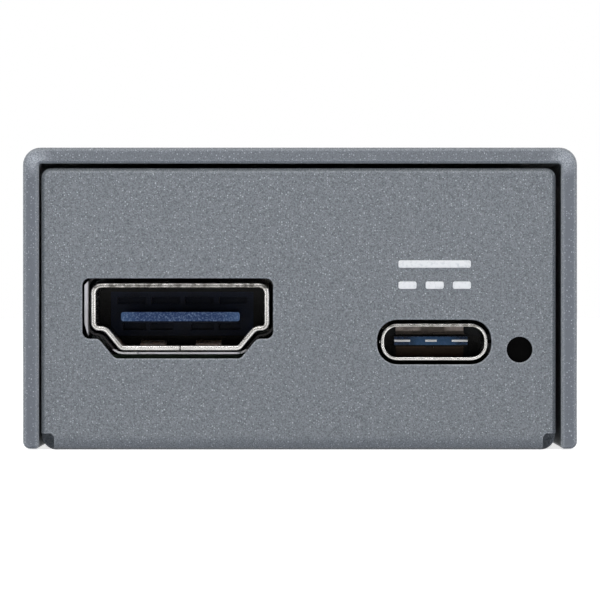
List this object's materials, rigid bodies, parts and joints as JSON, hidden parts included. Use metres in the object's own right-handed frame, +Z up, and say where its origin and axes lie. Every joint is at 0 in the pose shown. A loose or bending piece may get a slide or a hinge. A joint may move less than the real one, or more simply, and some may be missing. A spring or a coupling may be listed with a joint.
{
  "type": "sdi to hdmi converter",
  "caption": "Pocket-size SDI to HDMI converter: folded grey metal case with HDMI and USB-C sockets at one end and BNC jacks at the other.",
  "frame": {"origin": "middle of the underside, below the middle of the whole length with the jacks", "axes": "+Z up from the table; +Y from the HDMI end towards the jacks; +X to the right for someone who faces the HDMI end"},
  "size_m": [0.0458, 0.0842, 0.025],
  "materials": {
    "case_powder_coat": "fine textured grey powder coat, satin",
    "nickel": "bright nickel plate",
    "tinned_steel": "tin-plated sheet steel, satin",
    "turned_steel": "zinc-plated turned steel",
    "screw_steel": "blackened steel",
    "gold": "gold-plated contact strip",
    "board": "green solder mask over glass-filled epoxy",
    "socket_plastic": "dark moulded plastic",
    "jack_plastic": "white fluoroplastic",
    "chip_resin": "black chip resin",
    "chip_cap": "matt plated heat spreader",
    "pad_rubber": "soft grey-blue silicone",
    "crystal_can": "plated metal can",
    "capacitor_resin": "yellow moulded resin",
    "ceramic": "brown ceramic with tinned ends",
    "ferrite": "dark grey pressed ferrite",
    "lamp_body": "black moulded plastic",
    "lamp_lens": "smoked resin"
  },
  "bodies": {
    "root": {"top_cover": "case_powder_coat", "base_tray": "case_powder_coat", "cover_posts": "turned_steel", "cover_screws": "screw_steel", "board_standoffs": "turned_steel", "board_nuts": "turned_steel", "main_board": "board", "hdmi_shell": "nickel", "hdmi_shield": "tinned_steel", "hdmi_insulator": "socket_plastic", "hdmi_upper_contacts": "gold", "hdmi_lower_contacts": "gold", "usb_shell": "nickel", "usb_insulator": "socket_plastic", "usb_mid_plate": "tinned_steel", "usb_ground_plates": "tinned_steel", "usb_upper_contacts": "gold", "usb_lower_contacts": "gold", "status_led": "lamp_body", "status_led_lens": "lamp_lens", "sdi_in_jack_barrel": "nickel", "sdi_in_jack_block": "nickel", "sdi_in_jack_insulator": "jack_plastic", "sdi_in_jack_contact": "gold", "sdi_out_jack_barrel": "nickel", "sdi_out_jack_block": "nickel", "sdi_out_jack_insulator": "jack_plastic", "sdi_out_jack_contact": "gold", "video_processor": "chip_cap", "thermal_pad": "pad_rubber", "flash_memory": "chip_resin", "hdmi_driver": "chip_resin", "power_regulator": "chip_resin", "sdi_receiver": "chip_resin", "sdi_driver": "chip_resin", "clock_crystal": "crystal_can", "surge_protectors": "chip_resin", "power_inductors": "ferrite", "bulk_capacitors": "capacitor_resin", "ceramic_capacitors": "ceramic", "chip_resistors": "chip_resin"}
  },
  "joints": []
}
